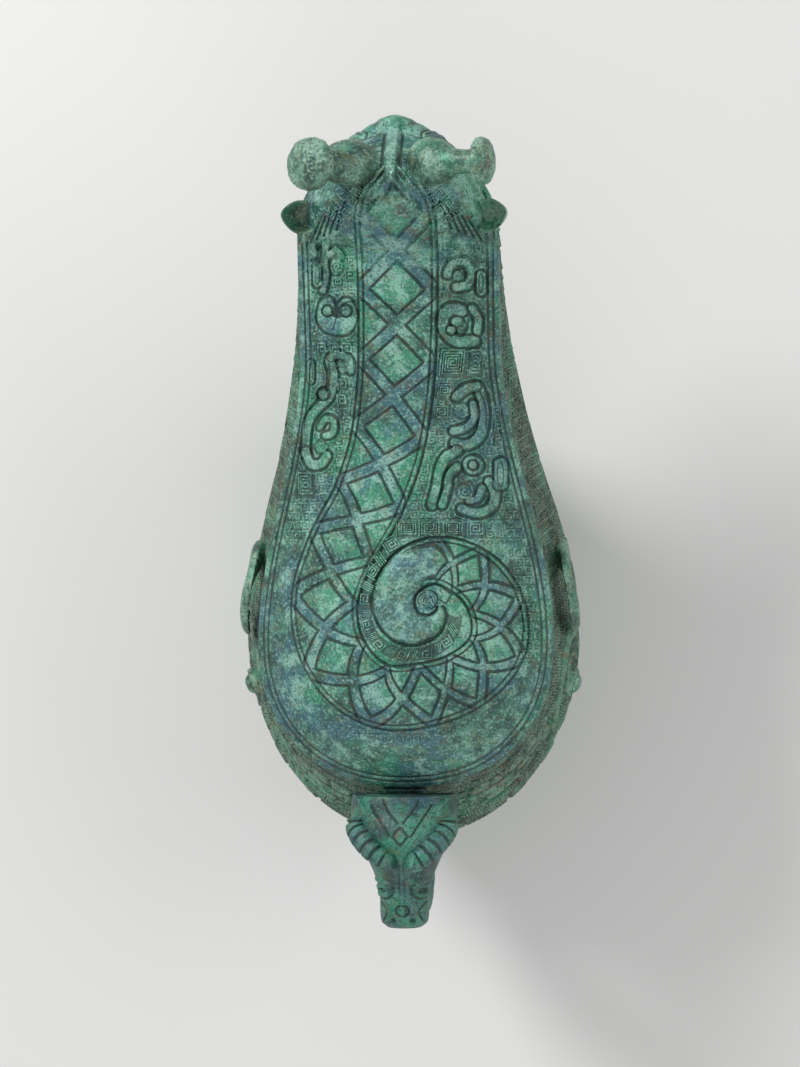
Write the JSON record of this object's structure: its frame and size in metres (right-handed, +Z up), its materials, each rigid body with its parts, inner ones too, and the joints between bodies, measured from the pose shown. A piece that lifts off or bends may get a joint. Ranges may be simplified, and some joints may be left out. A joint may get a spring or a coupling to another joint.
{
  "type": "animal-shaped wine vessel",
  "caption": "Covered bronze wine vessel with an oval belly, raised spout and loop handle; its lift-off lid is a bottle-horned dragon coiled on the vault.",
  "frame": {"origin": "centre of the overall box, on the foot ring's sole", "axes": "+Z up, +Y towards the dragon's muzzle and the spout, +X to the right seen from above with the head up"},
  "size_m": [0.139, 0.313, 0.2343],
  "materials": {
    "malachite_bronze": "cast bronze under rough malachite patina",
    "pale_green_bronze": "cast bronze with pale, pitted green patina",
    "earthy_bronze": "cast bronze with earthy grey-green patina",
    "dark_green_bronze": "cast bronze with dark blue-green patina"
  },
  "bodies": {
    "vessel": {"vessel_wall": "earthy_bronze", "foot_ring": "earthy_bronze", "spout_flange": "earthy_bronze", "mask_horn_left": "pale_green_bronze", "mask_horn_right": "pale_green_bronze", "mask_eye_left": "pale_green_bronze", "mask_eye_right": "pale_green_bronze", "handle_loop": "dark_green_bronze", "handle_head": "dark_green_bronze", "handle_horn_left": "dark_green_bronze", "handle_horn_right": "dark_green_bronze", "handle_spur": "dark_green_bronze"},
    "lid": {"lid_shell": "malachite_bronze", "lid_flange": "malachite_bronze", "dragon_head": "malachite_bronze", "bottle_horn_left": "pale_green_bronze", "bottle_horn_right": "pale_green_bronze", "dragon_ear_left": "pale_green_bronze", "dragon_ear_right": "pale_green_bronze", "dragon_eye_left": "pale_green_bronze", "dragon_eye_right": "pale_green_bronze"}
  },
  "joints": [
    {"name": "lid_lift", "type": "slide", "parent": "vessel", "child": "lid", "axis": [0, 0, 1], "range_m": [0, 0.12]}
  ]
}
